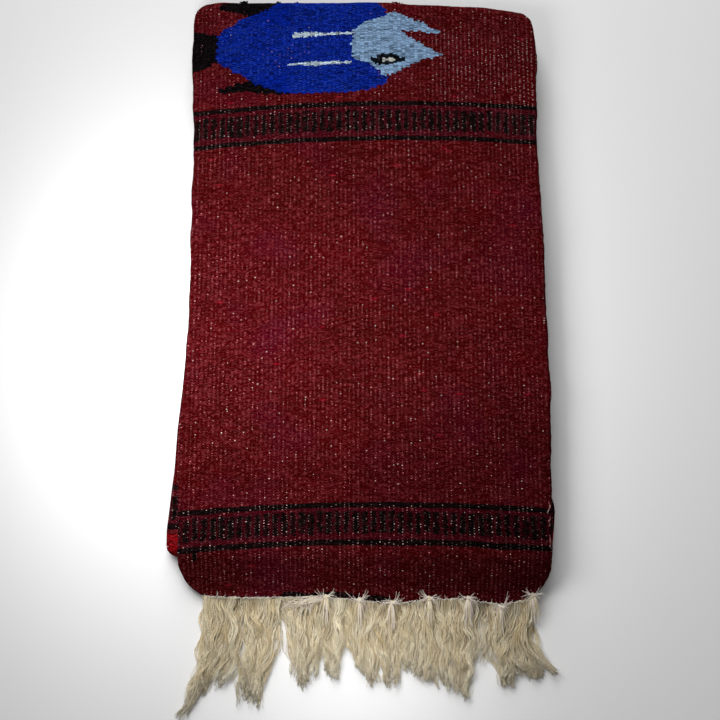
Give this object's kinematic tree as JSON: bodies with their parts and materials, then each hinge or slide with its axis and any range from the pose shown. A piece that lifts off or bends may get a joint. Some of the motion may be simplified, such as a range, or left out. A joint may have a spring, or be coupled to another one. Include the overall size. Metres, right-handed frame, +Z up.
{
  "type": "folded blanket",
  "caption": "Hand-woven fringed blanket folded flat in thirds, with striped bands, a woven fish and a cotton fringe at its front hem.",
  "frame": {"origin": "on the floor, at the middle of the folded blanket's bounding box", "axes": "+Z up out of the upper face, +Y from the fringe to the top fold, +X to the right as seen from the fringe"},
  "size_m": [0.4489, 0.8608, 0.0352],
  "materials": {
    "blanket_cloth": "matte weft-faced wool, wine red with black bands and a blue fish",
    "tucked_layers": "matte weft-faced wool, wine red",
    "fringe": "matte cream cotton warp yarn"
  },
  "bodies": {
    "root": {"blanket_cloth": "blanket_cloth", "tucked_layers": "tucked_layers", "fringe_face": "fringe", "fringe_left_flap": "fringe", "fringe_right_flap": "fringe"}
  },
  "joints": []
}
